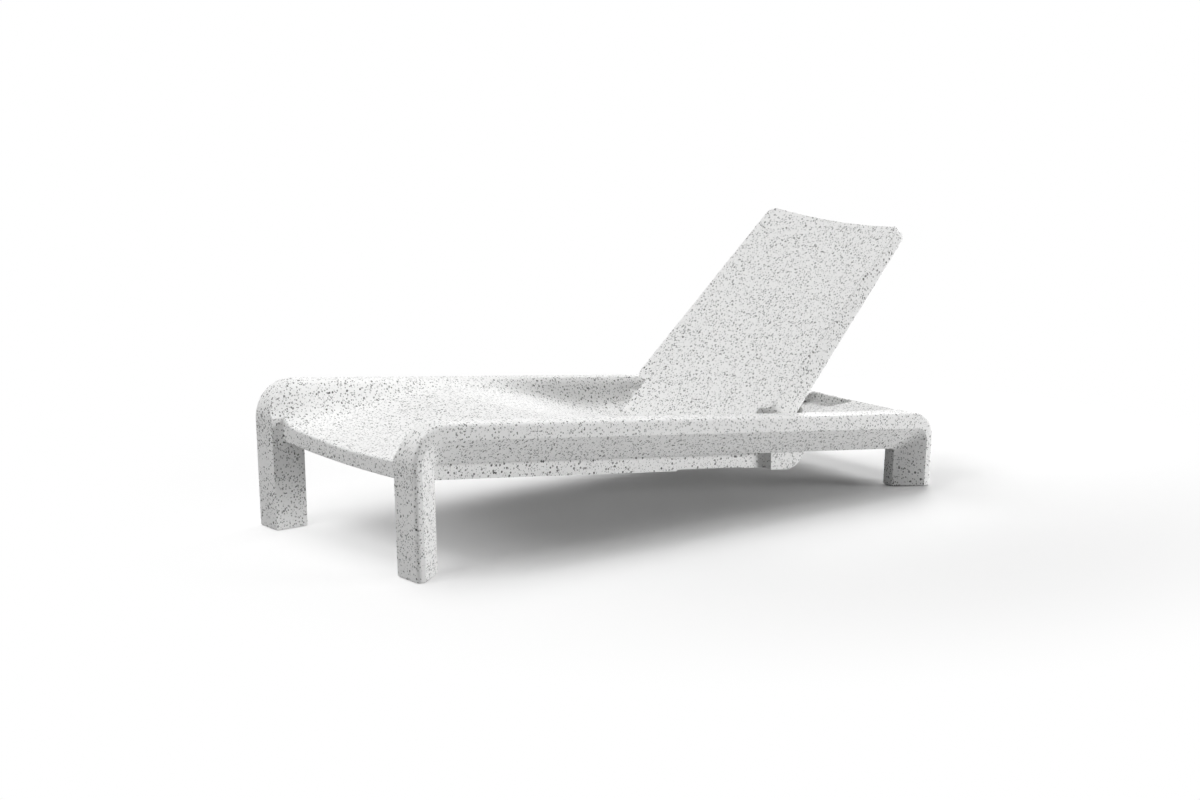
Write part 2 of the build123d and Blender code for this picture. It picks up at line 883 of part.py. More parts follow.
def back_bumper(side):
    """Rubber stop that meets the deck when the backrest lies flat."""
    deck_v = deck_cover + deck_crown + deck_slope * bumper_u
    height = back_v(bumper_u) - deck_v - bumper_gap
    dome = rod(bumper_radius, 0, height)
    dome = fillet(dome.edges().sort_by(Axis.Z)[-1], bumper_edge)
    stem = rod(bumper_stem_radius, 0, -bumper_stem_length)
    return back_frame(bumper_u, side * bumper_y) * (dome + stem)


def vent_plug():
    """Plug that closes the moulding vent of a hollow shell."""
    flange = rod(plug_radius, 0, plug_flange)
    flange = fillet(flange.edges().sort_by(Axis.Z)[-1], plug_edge)
    return flange + rod(plug_stem_radius, 0, -plug_stem_length)


def group(shape, frames):
    """Separate copies of one piece at several places."""
    piece = shape.solids()[0]
    return Compound(children=[piece.moved(frame) for frame in frames])


parts = {
    "base_shell": base_shell(),
    "backrest_shell": back_shell(),
    "support_stay": support_stay(),
    "stay_rack": rack(),
    "rack_screws": group(screw(rack_base), rack_screw_frames()),
    "rack_inserts": group(small_insert(), rack_screw_frames()),
    "saddle_screws": group(screw(saddle_flange), saddle_screw_frames()),
    "saddle_inserts": group(small_insert(), saddle_screw_frames()),
    "base_vent_plug": base_plug_frame() * vent_plug(),
    "backrest_vent_plug": back_frame(back_plug_u, 0) * vent_plug(),
}
for side, hand in ((-1, "left"), (1, "right")):
    parts[f"hinge_bolt_{hand}"] = hinge_bolt(side)
    parts[f"hinge_bush_{hand}"] = hinge_bush(side)
    parts[f"hinge_insert_{hand}"] = hinge_insert(side)
    parts[f"stay_saddle_{hand}"] = stay_saddle(side)
    parts[f"backrest_bumper_{hand}"] = back_bumper(side)
    parts[f"foot_end_glide_{hand}"] = foot_glide(glide_x_foot, side)
    parts[f"head_end_glide_{hand}"] = foot_glide(glide_x_head, side)

to_origin = Pos(-overall_length / 2, 0, 0)
for name, shape in parts.items():
    export_step(to_origin * shape, f"parts/{name}.step")
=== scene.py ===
import json
import math

import bmesh
import bpy
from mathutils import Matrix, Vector


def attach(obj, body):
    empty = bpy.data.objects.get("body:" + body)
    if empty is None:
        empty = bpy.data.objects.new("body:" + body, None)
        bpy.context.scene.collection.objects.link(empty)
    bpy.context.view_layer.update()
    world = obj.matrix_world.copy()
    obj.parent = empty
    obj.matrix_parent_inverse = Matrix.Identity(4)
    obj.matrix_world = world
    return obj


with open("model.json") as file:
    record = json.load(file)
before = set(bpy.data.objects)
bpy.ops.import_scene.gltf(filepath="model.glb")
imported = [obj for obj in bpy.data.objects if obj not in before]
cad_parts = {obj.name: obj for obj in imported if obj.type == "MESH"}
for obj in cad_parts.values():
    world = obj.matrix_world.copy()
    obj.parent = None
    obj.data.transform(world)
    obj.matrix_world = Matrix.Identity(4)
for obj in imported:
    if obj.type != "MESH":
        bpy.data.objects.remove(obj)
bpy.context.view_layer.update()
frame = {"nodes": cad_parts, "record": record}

bl_info = {
    "name": "Speckled Sun Lounger",
    "version": (1, 0, 0),
    "blender": (4, 5, 0),
    "location": "View3D > Sidebar > Lounger",
    "description": "Dresses a moulded sun lounger in speckled plastic, steel, brass and rubber",
    "category": "Object",
}


def slot_colour(slot):
    """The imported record's colour of a material slot."""
    for material in frame["record"]["materials"]:
        if material["slot"] == slot:
            return tuple(material["base_color"])
    raise ValueError(f"the record has no slot {slot}")


def opaque(colour):
    """A colour with full alpha, as colour sockets take it."""
    return (*colour, 1.0)


# Node tools

FLOAT = "NodeSocketFloat"
COLOUR = "NodeSocketColor"
WHITE = (1.0, 1.0, 1.0, 1.0)
COLUMN_WIDTH = 190
ROW_HEIGHT = -170


def add(tree, kind, place, inputs=None, **settings):
    """A node with its settings and its inputs, given by name or number."""
    node = tree.nodes.new(kind)
    node.location = (place[0] * COLUMN_WIDTH, place[1] * ROW_HEIGHT)
    for name, value in settings.items():
        setattr(node, name, value)
    for name, value in (inputs or {}).items():
        if isinstance(value, bpy.types.NodeSocket):
            tree.links.new(value, node.inputs[name])
        else:
            node.inputs[name].default_value = value
    return node


def maths(tree, operation, place, first, second=0.0, third=0.0):
    """Result of one sum on up to three values."""
    values = {0: first, 1: second, 2: third}
    return add(tree, "ShaderNodeMath", place, values, operation=operation).outputs[0]


def remap(tree, place, value, low, high, out_low=0.0, out_high=1.0):
    """A value moved smoothly from one range to another."""
    values = {
        "Value": value, "From Min": low, "From Max": high, "To Min": out_low, "To Max": out_high,
    }
    node = add(tree, "ShaderNodeMapRange", place, values, interpolation_type="SMOOTHSTEP")
    return node.outputs["Result"]


def blend_colours(tree, place, mask, below, above):
    """One colour over another, as far as the mask says."""
    node = add(tree, "ShaderNodeMix", place, data_type="RGBA")
    for name, value in (("Factor_Float", mask), ("A_Color", below), ("B_Color", above)):
        socket = next(item for item in node.inputs if item.identifier == name)
        if isinstance(value, bpy.types.NodeSocket):
            tree.links.new(value, socket)
        else:
            socket.default_value = value
    return next(item for item in node.outputs if item.identifier == "Result_Color")


def group_tree(name, inputs, outputs):
    """An empty shader node group with named sockets, its input node and its output node."""
    tree = bpy.data.node_groups.new(name, "ShaderNodeTree")
    for label, kind, default in inputs:
        socket = tree.interface.new_socket(label, in_out="INPUT", socket_type=kind)
        socket.default_value = default
    for label, kind in outputs:
        tree.interface.new_socket(label, in_out="OUTPUT", socket_type=kind)
    return tree, add(tree, "NodeGroupInput", (-6, 0)), add(tree, "NodeGroupOutput", (8, 0))


def join(tree, node, values):
    """Links each value to the node's input of that name."""
    for name, value in values.items():
        tree.links.new(value, node.inputs[name])


# Grains: largest radius and softness of the edge, as shares of a cell, then how far the grains
# differ in strength of colour and how strong the faintest is
GRAIN_CROPS = {
    "Pale": (0.46, 0.2, 0.6, 0.2),
    "Grey": (0.52, 0.08, 0.55, 0.45),
    "Black": (0.31, 0.03, 0.4, 0.6),
}
CROP_ROWS = 3  # rows of nodes that a crop takes
SMALLEST_GRAIN = 0.55  # of the largest radius
PALE_PITCH = 1.7  # times the pitch of the grey grains
PALE_SHARE = 0.5
WOBBLE_SCALE = 420.0  # waves per metre that make the grains ragged
WOBBLE_REACH = 0.0035  # metres, from the furthest that an edge moves one way to the other
CLOUD_SCALE = 2.4


def speck_layer(tree, row, vector, size, share, radius, softness):
    """Mask of one crop of specks, with a chance value for each: some cells hold a grain."""
    cells = maths(tree, "DIVIDE", (-3, row), 1.0, size)
    grid = add(
        tree, "ShaderNodeTexVoronoi", (-2, row), {"Vector": vector, "Scale": cells}, feature="F1"
    )
    dice = add(tree, "ShaderNodeSeparateColor", (-1, row), {"Color": grid.outputs["Color"]})
    chosen = maths(tree, "LESS_THAN", (0, row), dice.outputs["Red"], share)
    smallest = radius * SMALLEST_GRAIN
    reach = remap(tree, (0, row + 1), dice.outputs["Green"], 0.0, 1.0, smallest, radius)
    inside = maths(tree, "SUBTRACT", (1, row + 1), reach, grid.outputs["Distance"])
    edge = remap(tree, (2, row + 1), inside, 0.0, softness)
    return maths(tree, "MULTIPLY", (3, row), chosen, edge), dice.outputs["Blue"]


def granite_group():
    """Grains of grey and black stirred through a pale plastic."""
    if "Granite Specks" in bpy.data.node_groups:
        return bpy.data.node_groups["Granite Specks"]
    tree, given, out = group_tree(
        "Granite Specks",
        [
            ("Body Colour", COLOUR, (0.86, 0.86, 0.85, 1.0)),
            ("Pale Grain Colour", COLOUR, (0.6, 0.6, 0.59, 1.0)),
            ("Grey Grain Colour", COLOUR, (0.2, 0.2, 0.2, 1.0)),
            ("Black Grain Colour", COLOUR, (0.03, 0.03, 0.03, 1.0)),
            ("Grey Grain Size", FLOAT, 0.0036),
            ("Black Grain Size", FLOAT, 0.0075),
            ("Grey Share", FLOAT, 0.34),
            ("Black Share", FLOAT, 0.2),
        ],
        [("Colour", COLOUR), ("Grain Mask", FLOAT), ("Cloud", FLOAT)],
    )
    where = add(tree, "ShaderNodeTexCoord", (-6, 2)).outputs["Object"]
    wobble = add(
        tree, "ShaderNodeTexNoise", (-5, 2),
        {"Vector": where, "Scale": WOBBLE_SCALE, "Detail": 2.0},
    )
    centred = add(
        tree, "ShaderNodeVectorMath", (-5, 3), {0: wobble.outputs["Color"], 1: (0.5, 0.5, 0.5)},
        operation="SUBTRACT",
    )
    shift = add(
        tree, "ShaderNodeVectorMath", (-4, 3), {0: centred.outputs[0], "Scale": WOBBLE_REACH},
        operation="SCALE",
    )
    ragged = add(
        tree, "ShaderNodeVectorMath", (-4, 2), {0: where, 1: shift.outputs[0]}, operation="ADD"
    ).outputs[0]
    pitches = {
        "Pale": maths(tree, "MULTIPLY", (-4, 0), given.outputs["Grey Grain Size"], PALE_PITCH),
        "Grey": given.outputs["Grey Grain Size"],
        "Black": given.outputs["Black Grain Size"],
    }
    shares = {
        "Pale": PALE_SHARE,
        "Grey": given.outputs["Grey Share"],
        "Black": given.outputs["Black Share"],
    }
    colour = given.outputs["Body Colour"]
    strengths = {}
    for index, (crop, (radius, softness, spread, faintest)) in enumerate(GRAIN_CROPS.items()):
        row = index * CROP_ROWS
        grain, dice = speck_layer(
            tree, row, ragged, pitches[crop], shares[crop], radius, softness
        )
        strength = maths(tree, "MULTIPLY_ADD", (3, row + 1), dice, spread, faintest)
        strengths[crop] = maths(tree, "MULTIPLY", (4, row), grain, strength)
        over = given.outputs[f"{crop} Grain Colour"]
        colour = blend_colours(tree, (5 + index, 0), strengths[crop], colour, over)
    cloud = add(
        tree, "ShaderNodeTexNoise", (1, 9), {"Vector": where, "Scale": CLOUD_SCALE, "Detail": 3.0}
    )
    mask = maths(tree, "MAXIMUM", (6, 3), strengths["Grey"], strengths["Black"])
    join(tree, out, {"Colour": colour, "Grain Mask": mask, "Cloud": cloud.outputs["Fac"]})
    return tree


# Skin: waves and pores per wave of the peel, the pores' rim, and heights against the peel's
SLOW_WAVES = 0.07
PORE_CELLS = 0.6
PORE_RIM = (0.04, 0.12)
SLOW_HEIGHT = 0.6
PORE_HEIGHT = -0.8


def skin_group():
    """The faint orange-peel skin that a mould leaves, with tiny pin holes."""
    if "Moulded Skin" in bpy.data.node_groups:
        return bpy.data.node_groups["Moulded Skin"]
    tree, given, out = group_tree(
        "Moulded Skin",
        [("Peel Size", FLOAT, 0.004), ("Pore Share", FLOAT, 0.05)],
        [("Height", FLOAT), ("Pores", FLOAT)],
    )
    where = add(tree, "ShaderNodeTexCoord", (-6, 2)).outputs["Object"]
    cells = maths(tree, "DIVIDE", (-5, 0), 1.0, given.outputs["Peel Size"])
    peel = add(
        tree, "ShaderNodeTexNoise", (-4, 0), {"Vector": where, "Scale": cells, "Detail": 2.0}
    )
    slow_cells = maths(tree, "MULTIPLY", (-5, 2), cells, SLOW_WAVES)
    slow = add(
        tree, "ShaderNodeTexNoise", (-4, 2), {"Vector": where, "Scale": slow_cells, "Detail": 1.0}
    )
    pore_cells = maths(tree, "MULTIPLY", (-5, 4), cells, PORE_CELLS)
    pore = add(tree, "ShaderNodeTexVoronoi", (-4, 4), {"Vector": where, "Scale": pore_cells})
    dice = add(tree, "ShaderNodeSeparateColor", (-3, 4), {"Color": pore.outputs["Color"]})
    chosen = maths(tree, "LESS_THAN", (-2, 4), dice.outputs["Red"], given.outputs["Pore Share"])
    dot = remap(tree, (-2, 5), pore.outputs["Distance"], *PORE_RIM, 1.0, 0.0)
    pores = maths(tree, "MULTIPLY", (-1, 4), chosen, dot)
    waves = maths(
        tree, "MULTIPLY_ADD", (-1, 1), slow.outputs["Fac"], SLOW_HEIGHT, peel.outputs["Fac"]
    )
    height = maths(tree, "MULTIPLY_ADD", (0, 1), pores, PORE_HEIGHT, waves)
    join(tree, out, {"Height": height, "Pores": pores})
    return tree


# Wear: range of the noise over which a patch or a scuff starts, and how scuffs lie and stretch
PATCH_EDGE = (0.45, 0.7)
SCUFF_EDGE = (0.62, 0.72)
SCUFF_CELLS = 5.0
SCUFF_TURN = (0.4, 0.7, 0.9)
SCUFF_STRETCH = (1.0, 9.0, 9.0)


def wear_group():
    """Rubbed patches and fine scuffs from use, for roughness and a slight change of tone."""
    if "Handling Wear" in bpy.data.node_groups:
        return bpy.data.node_groups["Handling Wear"]
    tree, given, out = group_tree(
        "Handling Wear",
        [("Patch Size", FLOAT, 0.12), ("Scuff Share", FLOAT, 0.5)],
        [("Rubbed", FLOAT), ("Scuffs", FLOAT)],
    )
    where = add(tree, "ShaderNodeTexCoord", (-6, 2)).outputs["Object"]
    cells = maths(tree, "DIVIDE", (-5, 0), 1.0, given.outputs["Patch Size"])
    patch = add(
        tree, "ShaderNodeTexNoise", (-4, 0), {"Vector": where, "Scale": cells, "Detail": 4.0}
    )
    rubbed = remap(tree, (-3, 0), patch.outputs["Fac"], *PATCH_EDGE)
    stretch = add(
        tree, "ShaderNodeMapping", (-5, 2),
        {"Vector": where, "Rotation": SCUFF_TURN, "Scale": SCUFF_STRETCH},
    )
    line_cells = maths(tree, "MULTIPLY", (-5, 4), cells, SCUFF_CELLS)
    lines = add(
        tree, "ShaderNodeTexNoise", (-4, 2),
        {"Vector": stretch.outputs[0], "Scale": line_cells, "Detail": 3.0},
    )
    thin = remap(tree, (-3, 2), lines.outputs["Fac"], *SCUFF_EDGE)
    scuffs = maths(tree, "MULTIPLY", (-2, 2), thin, given.outputs["Scuff Share"])
    join(tree, out, {"Rubbed": rubbed, "Scuffs": scuffs})
    return tree


DRAWN_TONE = (0.3, 0.75)  # range of the noise over which a drawn line turns bright


def brushed_group():
    """Drawn or turned lines of bare metal."""
    if "Drawn Metal" in bpy.data.node_groups:
        return bpy.data.node_groups["Drawn Metal"]
    tree, given, out = group_tree(
        "Drawn Metal",
        [("Line Size", FLOAT, 0.0006), ("Stretch Along", FLOAT, 0.04)],
        [("Height", FLOAT), ("Tone", FLOAT)],
    )
    where = add(tree, "ShaderNodeTexCoord", (-6, 2)).outputs["Object"]
    axes = add(tree, "ShaderNodeSeparateXYZ", (-5, 2), {"Vector": where})
    along = maths(tree, "MULTIPLY", (-4, 1), axes.outputs["X"], given.outputs["Stretch Along"])
    joined = add(
        tree, "ShaderNodeCombineXYZ", (-3, 2),
        {"X": along, "Y": axes.outputs["Y"], "Z": axes.outputs["Z"]},
    )
    cells = maths(tree, "DIVIDE", (-4, 0), 1.0, given.outputs["Line Size"])
    lines = add(
        tree, "ShaderNodeTexNoise", (-2, 1),
        {"Vector": joined.outputs[0], "Scale": cells, "Detail": 3.0},
    )
    tone = remap(tree, (-1, 2), lines.outputs["Fac"], *DRAWN_TONE)
    join(tree, out, {"Height": lines.outputs["Fac"], "Tone": tone})
    return tree


def placed(tree, group, place, **values):
    """A group in a material, with its values given by the socket's name in snake case."""
    node = add(tree, "ShaderNodeGroup", place, node_tree=group)
    for name, value in values.items():
        node.inputs[name.replace("_", " ").title()].default_value = value
    return node


def blank_material(name, colour):
    """A material with one plastic or metal shader and nothing linked to it yet."""
    material = bpy.data.materials.new(name)
    material.use_nodes = True
    material.diffuse_color = colour
    tree = material.node_tree
    tree.nodes.clear()
    shader = add(tree, "ShaderNodeBsdfPrincipled", (8, 0))
    end = add(tree, "ShaderNodeOutputMaterial", (10, 0))
    tree.links.new(shader.outputs[0], end.inputs["Surface"])
    return material, tree, shader


def relief(tree, place, height, depth, strength):
    """Bump from a height, as deep as the depth in metres."""
    values = {"Height": height, "Distance": depth, "Strength": strength}
    return add(tree, "ShaderNodeBump", place, values).outputs["Normal"]


# Finishes


def granite_plastic(name):
    """Speckled plastic of the base and the backrest."""
    clouded, grime = (0.7, 0.7, 0.69, 1.0), (0.25, 0.25, 0.24, 1.0)
    most_clouded, grime_in_pores = 0.05, 0.25
    rubbed_change, scuffed_change, grain_height = -0.07, 0.12, -0.12
    finish = bpy.context.scene.lounger_granite
    material, tree, shader = blank_material(name, opaque(finish.body_colour))
    specks = placed(
        tree, granite_group(), (0, 0),
        body_colour=opaque(finish.body_colour),
        pale_grain_colour=opaque(finish.pale_colour),
        grey_grain_colour=opaque(finish.grey_colour),
        black_grain_colour=opaque(finish.black_colour),
        grey_grain_size=finish.grey_size,
        black_grain_size=finish.black_size,
        grey_share=finish.grey_share,
        black_share=finish.black_share,
    )
    skin = placed(tree, skin_group(), (0, 4), peel_size=0.0045, pore_share=0.04)
    wear = placed(tree, wear_group(), (0, 7), patch_size=0.16, scuff_share=0.4)
    cloud = remap(tree, (2, 1), specks.outputs["Cloud"], 0.3, 0.7, 0.0, most_clouded)
    tint = blend_colours(tree, (3, 0), cloud, specks.outputs["Colour"], clouded)
    dirt = maths(tree, "MULTIPLY", (3, 4), skin.outputs["Pores"], grime_in_pores)
    colour = blend_colours(tree, (5, 0), dirt, tint, grime)
    duller = maths(
        tree, "MULTIPLY_ADD", (3, 6), wear.outputs["Rubbed"], rubbed_change, finish.roughness
    )
    scuffed = maths(
        tree, "MULTIPLY_ADD", (4, 6), wear.outputs["Scuffs"], scuffed_change, duller
    )
    sunk = maths(
        tree, "MULTIPLY_ADD", (4, 3), specks.outputs["Grain Mask"], grain_height,
        skin.outputs["Height"],
    )
    bump = relief(tree, (6, 3), sunk, finish.skin_depth, 1.0)
    join(tree, shader, {"Base Color": colour, "Roughness": scuffed, "Normal": bump})
    shader.inputs["Specular IOR Level"].default_value = 0.15
    return material


def tinted_plastic(name, tone, roughness):
    """Plain moulded plastic with a moulded skin, light wear and a little dust."""
    dust_colour = (0.5, 0.48, 0.45, 1.0)
    scraped = opaque(min(1.0, part * 1.25 + 0.03) for part in tone)
    scuff_strength, dust_strength, rubbed_change = 0.5, 0.12, -0.12
    skin_depth, skin_strength = 0.0001, 0.6
    colour = opaque(tone)
    material, tree, shader = blank_material(name, colour)
    skin = placed(tree, skin_group(), (0, 0), peel_size=0.0012, pore_share=0.08)
    wear = placed(tree, wear_group(), (0, 3), patch_size=0.02, scuff_share=0.8)
    marked = maths(tree, "MULTIPLY", (3, 2), wear.outputs["Scuffs"], scuff_strength)
    shade = blend_colours(tree, (4, 0), marked, colour, scraped)
    dust = maths(tree, "MULTIPLY", (4, 3), wear.outputs["Rubbed"], dust_strength)
    settled = blend_colours(tree, (5, 0), dust, shade, dust_colour)
    rough = maths(
        tree, "MULTIPLY_ADD", (4, 4), wear.outputs["Rubbed"], rubbed_change, roughness
    )
    bump = relief(tree, (6, 3), skin.outputs["Height"], skin_depth, skin_strength)
    join(tree, shader, {"Base Color": settled, "Roughness": rough, "Normal": bump})
    shader.inputs["Specular IOR Level"].default_value = 0.4
    return material


def stainless_steel(name):
    """Drawn steel with dark lines and a thin film of dirt."""
    film_colour = (0.42, 0.4, 0.37, 1.0)
    line_shade, film_strength = 0.72, 0.18
    tone_change, scuffed_change = 0.14, 0.15
    line_depth, line_strength = 0.00004, 0.5
    finish = bpy.context.scene.lounger_hardware
    colour = opaque(finish.steel_colour)
    material, tree, shader = blank_material(name, colour)
    drawn = placed(tree, brushed_group(), (0, 0), line_size=0.0005, stretch_along=0.03)
    wear = placed(tree, wear_group(), (0, 3), patch_size=0.05, scuff_share=0.9)
    darker = opaque(part * line_shade for part in finish.steel_colour)
    lines = blend_colours(tree, (3, 0), drawn.outputs["Tone"], darker, colour)
    film = maths(tree, "MULTIPLY", (3, 3), wear.outputs["Rubbed"], film_strength)
    tint = blend_colours(tree, (5, 0), film, lines, film_colour)
    rough = maths(
        tree, "MULTIPLY_ADD", (3, 4), drawn.outputs["Tone"], tone_change, finish.steel_roughness
    )
    dull = maths(tree, "MULTIPLY_ADD", (4, 4), wear.outputs["Scuffs"], scuffed_change, rough)
    bump = relief(tree, (6, 3), drawn.outputs["Height"], line_depth, line_strength)
    join(tree, shader, {"Base Color": tint, "Roughness": dull, "Normal": bump})
    shader.inputs["Metallic"].default_value = 1.0
    return material


def turned_brass(name):
    """Turned brass, tarnished in patches."""
    tarnish_colour, line_colour = (0.38, 0.27, 0.12, 1.0), (0.5, 0.37, 0.17, 1.0)
    line_share, roughness, rubbed_change = 0.3, 0.3, 0.2
    line_depth, line_strength = 0.00003, 0.5
    finish = bpy.context.scene.lounger_hardware
    colour = opaque(finish.brass_colour)
    material, tree, shader = blank_material(name, colour)
    drawn = placed(tree, brushed_group(), (0, 0), line_size=0.0003, stretch_along=1.0)
    wear = placed(tree, wear_group(), (0, 3), patch_size=0.01, scuff_share=0.6)
    tarnish = blend_colours(tree, (3, 0), wear.outputs["Rubbed"], colour, tarnish_colour)
    lines = maths(tree, "MULTIPLY", (3, 2), drawn.outputs["Tone"], line_share)
    shade = blend_colours(tree, (5, 0), lines, tarnish, line_colour)
    rough = maths(
        tree, "MULTIPLY_ADD", (4, 4), wear.outputs["Rubbed"], rubbed_change, roughness
    )
    bump = relief(tree, (6, 3), drawn.outputs["Height"], line_depth, line_strength)
    join(tree, shader, {"Base Color": shade, "Roughness": rough, "Normal": bump})
    shader.inputs["Metallic"].default_value = 1.0
    return material


def dark_rubber(name):
    """Rubber with a dusty bloom and scuffs."""
    bloom_colour, scuff_colour = (0.2, 0.19, 0.18, 1.0), (0.3, 0.29, 0.28, 1.0)
    bloom_strength, scuff_strength = 0.3, 0.6
    roughness, rubbed_change = 0.72, 0.12
    skin_depth, skin_strength = 0.00015, 0.8
    finish = bpy.context.scene.lounger_hardware
    colour = opaque(finish.rubber_colour)
    material, tree, shader = blank_material(name, colour)
    skin = placed(tree, skin_group(), (0, 0), peel_size=0.0009, pore_share=0.25)
    wear = placed(tree, wear_group(), (0, 3), patch_size=0.015, scuff_share=1.0)
    bloom = maths(tree, "MULTIPLY", (3, 2), wear.outputs["Rubbed"], bloom_strength)
    dusty = blend_colours(tree, (4, 0), bloom, colour, bloom_colour)
    marked = maths(tree, "MULTIPLY", (4, 3), wear.outputs["Scuffs"], scuff_strength)
    shade = blend_colours(tree, (5, 0), marked, dusty, scuff_colour)
    rough = maths(
        tree, "MULTIPLY_ADD", (4, 4), wear.outputs["Rubbed"], rubbed_change, roughness
    )
    bump = relief(tree, (6, 3), skin.outputs["Height"], skin_depth, skin_strength)
    join(tree, shader, {"Base Color": shade, "Roughness": rough, "Normal": bump})
    return material


def slot_material(slot, make, *values):
    """The material of a slot, made from the values the first time that it is asked for."""
    name = slot.replace("_", " ").title()
    return bpy.data.materials.get(name) or make(name, *values)


def dress(slot, nodes, make, *values):
    """Gives one finish to several nodes through their objects' own material slots."""
    material = slot_material(slot, make, *values)
    for node in nodes:
        piece = frame["nodes"][node]
        if not piece.material_slots:
            raise RuntimeError(f"{node} came without a material slot")
        for place in piece.material_slots:
            place.link = "OBJECT"
            place.material = material
    return {"FINISHED"}


# End of the seat's walls, beside the backrest's heel

# All in metres, as in the CAD. A station is a distance along the base from BASE_START, and the
# rails fall by RAIL_FALL for each metre of it. The deck's floor passes through DECK_HINGE, the
# hinge's station and a height, and rises by DECK_RISE a metre. A wall is a row of places across,
# each with the share of the way down from rail to floor that the wall has reached there.
BASE_START = -0.925
RAIL_START = 0.423
RAIL_FALL = 0.110811
SEAT_FLOOR = 0.198
DECK_HINGE = (1.331, 0.1862)
DECK_RISE = 0.0527
SEAT_WALL = (
    (0.346, 0.0), (0.334, 0.11), (0.32, 0.42), (0.303, 0.76), (0.268, 0.955), (0.227, 1.0),
)
DECK_WALL = (
    (0.346, 0.0), (0.334, 0.12), (0.324, 0.42), (0.317, 0.8), (0.304, 0.95), (0.19, 1.0),
)
WALL_STATIONS = (1.183, 1.2, 1.22, 1.236, 1.25, 1.264, 1.278, 1.292, 1.306, 1.32)
WALL_PLACES = (
    0.338, 0.335, 0.332, 0.329, 0.326, 0.323, 0.32, 0.317, 0.314, 0.311, 0.308, 0.304, 0.3,
    0.295, 0.29, 0.285, 0.28, 0.274, 0.2675,
)

# The seat's wall turns into the deck's over FADE_LENGTH, and lies a little under the solids' faces
FADE_START = 1.262
FADE_LENGTH = 0.058
SUNK_AT_SEAT = 0.0004
SUNK_MORE_AT_DECK = 0.0012

# Hidden back of the piece: place of its step, and how far its two levels lie below the rail
STEP_PLACE = 0.3034
INNER_LEVEL = 0.165
OUTER_LEVEL = 0.1
SHARP_ANGLE = math.radians(40)


def wall_share(wall, place):
    """Share of the depth at a place across, on a smooth line through the wall's points."""
    slopes = [0.0]
    for before, here, after in zip(wall, wall[1:], wall[2:]):
        steps = [(b[1] - a[1]) / (b[0] - a[0]) for a, b in ((before, here), (here, after))]
        slopes.append(2 * steps[0] * steps[1] / (steps[0] + steps[1]))
    slopes[0] = 1.5 * (wall[1][1] - wall[0][1]) / (wall[1][0] - wall[0][0]) - slopes[1] / 2
    slopes.append(0.0)
    for index, (near, far) in enumerate(zip(wall, wall[1:])):
        if far[0] <= place <= near[0]:
            run = far[0] - near[0]
            part = (place - near[0]) / run
            leaving = slopes[index] * run * part * (1 - part) ** 2
            arriving = slopes[index + 1] * run * part**2 * (1 - part)
            plain = (far[1] - near[1]) * part**2 * (3 - 2 * part)
            return near[1] + plain + (leaving - arriving)
    raise ValueError(f"{place} is outside the wall")


def wall_section(station, side):
    """Closed loop across the wall: the bowl's surface, then back along faces inside the base."""
    rail = RAIL_START - RAIL_FALL * station
    deck = DECK_HINGE[1] + DECK_RISE * (station - DECK_HINGE[0])
    part = min(1.0, max(0.0, (station - FADE_START) / FADE_LENGTH))
    fade = part * part * (3 - 2 * part)
    sunk = SUNK_AT_SEAT + SUNK_MORE_AT_DECK * fade
    loop = []
    for place in WALL_PLACES:
        seat_z = rail - wall_share(SEAT_WALL, place) * (rail - SEAT_FLOOR)
        deck_z = rail - wall_share(DECK_WALL, place) * (rail - deck)
        loop.append((place, seat_z + (deck_z - seat_z) * fade - sunk))
    low, high = rail - INNER_LEVEL, rail - OUTER_LEVEL
    inner, outer = WALL_PLACES[-1], WALL_PLACES[0]
    loop += [(inner, low), (STEP_PLACE, low), (STEP_PLACE, high), (outer, high)]
    return [(station + BASE_START, side * place, height) for place, height in loop]


def seat_wall(name, side):
    """The stretch of bowl wall that runs on beside the heel until the backrest covers it."""
    build = bmesh.new()
    rings = [
        [build.verts.new(point) for point in wall_section(station, side)]
        for station in WALL_STATIONS
    ]
    for near, far in zip(rings, rings[1:]):
        for index in range(len(near)):
            after = (index + 1) % len(near)
            build.faces.new((near[index], near[after], far[after], far[index]))
    build.faces.new(rings[0])
    build.faces.new(rings[-1])
    bmesh.ops.recalc_face_normals(build, faces=build.faces)
    for face in build.faces:
        face.smooth = len(face.verts) == 4
    mesh = bpy.data.meshes.new(name)
    build.to_mesh(mesh)
    build.free()
    mesh.set_sharp_from_angle(angle=SHARP_ANGLE)
    piece = bpy.data.objects.new(name, mesh)
    bpy.context.scene.collection.objects.link(piece)
    return piece


# Sizes and colours that a user may change


